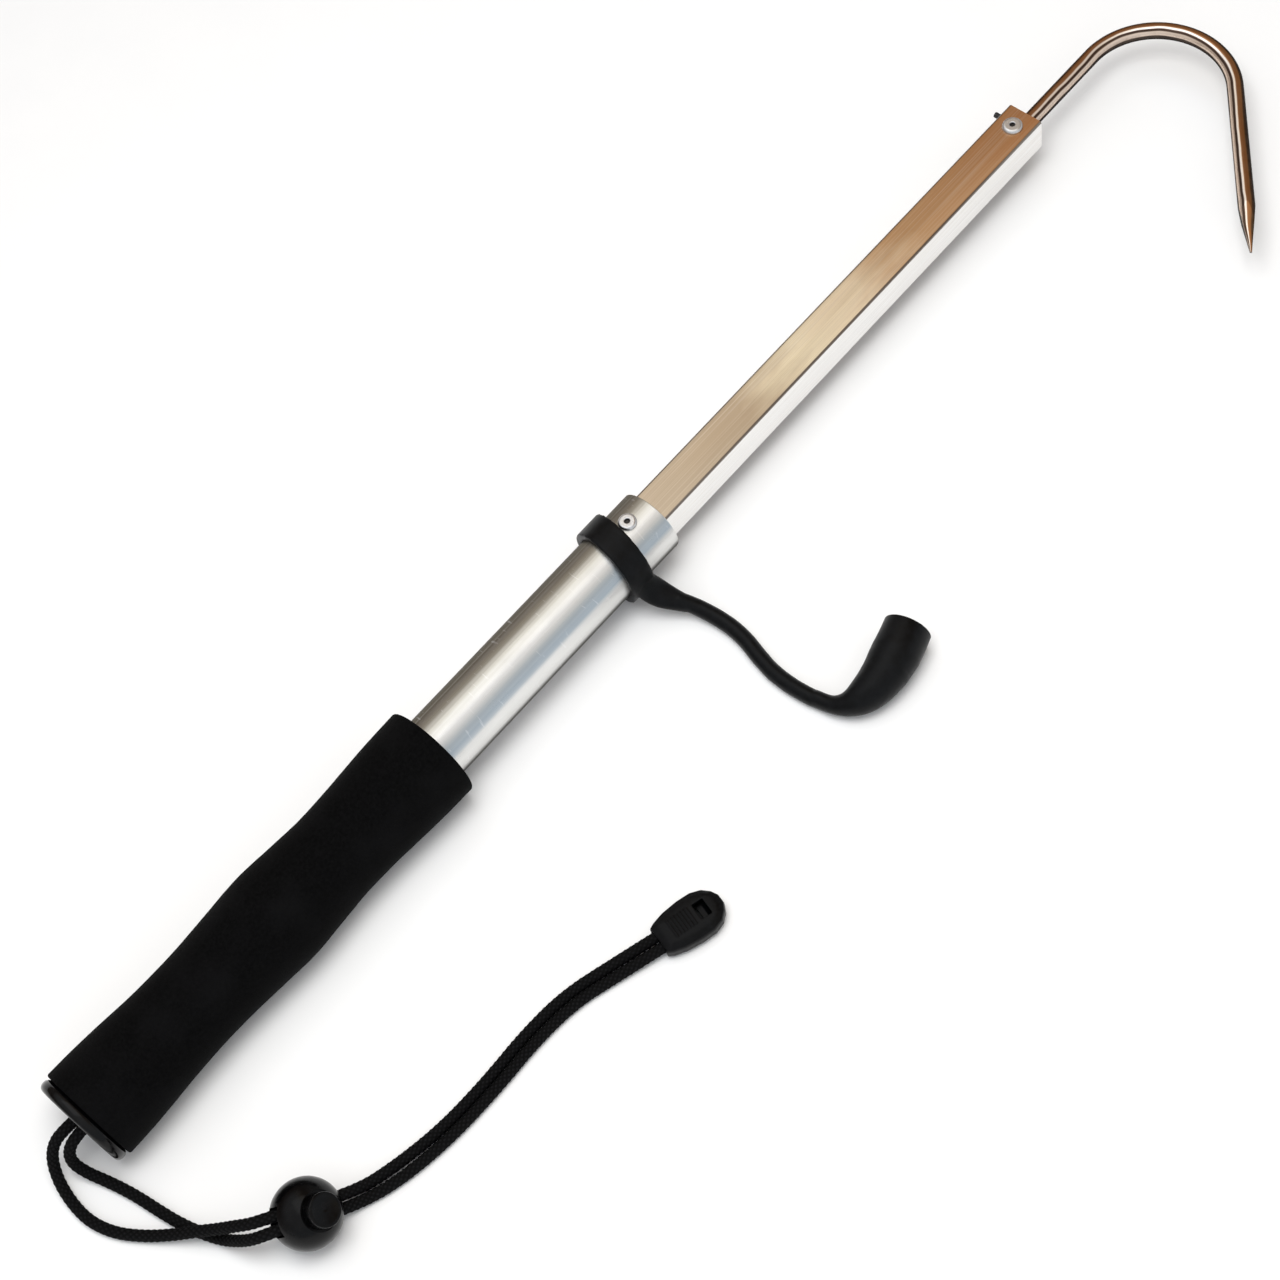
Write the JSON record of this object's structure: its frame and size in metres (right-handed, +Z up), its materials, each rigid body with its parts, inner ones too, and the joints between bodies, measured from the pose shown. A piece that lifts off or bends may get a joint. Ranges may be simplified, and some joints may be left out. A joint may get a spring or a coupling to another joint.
{
  "type": "telescopic hand gaff",
  "caption": "Telescopic hand gaff: round tube with foam grip and wrist cord, square sliding tube with a sharp hook, rubber strap with a cover for the point.",
  "frame": {"origin": "middle of the gaff seen from above, on the surface that it lies on; the wrist cord, its lock and its cord end aren't counted", "axes": "+X along the tube towards the hook, -Y towards the hook's point and the cord side, +Z up from the surface"},
  "size_m": [0.5922, 0.1325, 0.037],
  "materials": {
    "round_tube_metal": "drawn and satin anodised, fine lengthwise lines",
    "square_tube_metal": "extruded and brushed lengthwise, warm tan sheen on top",
    "grip_foam": "closed-cell foam, matt, skin with fine pores",
    "cap_plastic": "moulded, glossy",
    "cord_braid": "diagonal braid",
    "bushing_nylon": "natural nylon, turned",
    "rivet_metal": "bright domed head",
    "rivet_core": "drawn steel",
    "ring_rubber": "smooth",
    "socket_plastic": "moulded",
    "hook_steel": "polished stainless wire, ground point",
    "strap_rubber": "satin moulded soft vinyl",
    "lock_plastic": "moulded, glossy",
    "cord_end_plastic": "moulded, satin, fine finger ribs"
  },
  "bodies": {
    "handle": {"handle_tube": "round_tube_metal", "foam_grip": "grip_foam", "end_cap": "cap_plastic", "lanyard_knot": "cord_braid", "guide_bushing": "bushing_nylon", "collar_rivet": "rivet_metal", "collar_rivet_mandrel": "rivet_core", "cord_lock_body": "lock_plastic", "cord_lock_spring": "rivet_core", "lanyard_strand_outer": "cord_braid", "lanyard_strand_inner": "cord_braid", "cord_end_shell": "cord_end_plastic", "cord_end_latch": "cord_end_plastic", "cord_end_knots": "cord_braid"},
    "slider": {"square_tube": "square_tube_metal", "slider_stop": "bushing_nylon", "friction_ring": "ring_rubber", "slider_pin": "rivet_core", "hook_socket": "socket_plastic", "hook_rivet": "rivet_metal", "hook_rivet_mandrel": "rivet_core", "gaff_hook": "hook_steel"},
    "strap": {"tip_guard_strap": "strap_rubber"},
    "lock_button": {"cord_lock_button": "lock_plastic"}
  },
  "joints": [
    {"name": "tube_extend", "type": "slide", "parent": "handle", "child": "slider", "axis": [1, 0, 0], "range_m": [-0.185, 0]},
    {"name": "strap_slide", "type": "slide", "parent": "handle", "child": "strap", "axis": [1, 0, 0], "range_m": [-0.07, 0]},
    {"name": "button_press", "type": "slide", "parent": "handle", "child": "lock_button", "axis": [-0.328, 0.5718, -0.752], "range_m": [0, 0.003], "stiffness_N_per_m": 500, "springref_m": -0.003, "deforming": ["cord_lock_spring"]}
  ]
}
